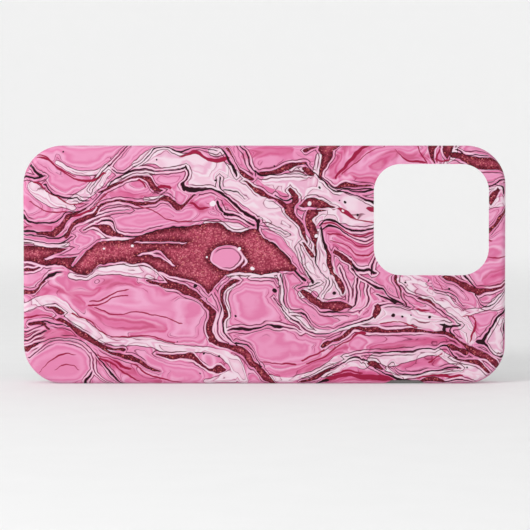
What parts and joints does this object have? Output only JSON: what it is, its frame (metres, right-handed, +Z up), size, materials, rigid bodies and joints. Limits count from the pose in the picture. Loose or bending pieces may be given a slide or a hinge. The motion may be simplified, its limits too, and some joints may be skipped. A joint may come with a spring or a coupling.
{
  "type": "phone case",
  "caption": "Two-layer phone case: glossy marble-print hard shell over a soft grey liner with a raised lip, camera window, button caps and port openings.",
  "frame": {"origin": "centre of the lower long edge, where the case stands", "axes": "+X towards the camera end, +Y out of the open screen side, +Z up across the case"},
  "size_m": [0.1644, 0.0122, 0.0813],
  "materials": {
    "printed_shell": "gloss, poured-marble print",
    "soft_liner": "satin",
    "microfibre": "brushed",
    "magnet": "nickel plated",
    "film": "matt",
    "button_plastic": "satin"
  },
  "bodies": {
    "shell": {"outer_shell": "printed_shell"},
    "liner": {"liner_tray": "soft_liner", "microfibre_lining": "microfibre", "ring_magnets": "magnet", "ring_magnet_film": "film", "alignment_magnet": "magnet", "bar_magnet_film": "film"},
    "volume_up": {"volume_up_cap": "button_plastic"},
    "volume_down": {"volume_down_cap": "button_plastic"},
    "side_button": {"side_button_cap": "button_plastic"}
  },
  "joints": [
    {"name": "liner_pull_off", "type": "slide", "parent": "shell", "child": "liner", "axis": [0, 1, 0], "range_m": [0, 0.02]},
    {"name": "volume_up_press", "type": "slide", "parent": "liner", "child": "volume_up", "axis": [0, 0, 1], "range_m": [0, 0.0004], "stiffness_N_per_m": 250, "springref_m": -0.002},
    {"name": "volume_down_press", "type": "slide", "parent": "liner", "child": "volume_down", "axis": [0, 0, 1], "range_m": [0, 0.0004], "stiffness_N_per_m": 250, "springref_m": -0.002},
    {"name": "side_button_press", "type": "slide", "parent": "liner", "child": "side_button", "axis": [0, 0, -1], "range_m": [0, 0.0004], "stiffness_N_per_m": 250, "springref_m": -0.002}
  ]
}
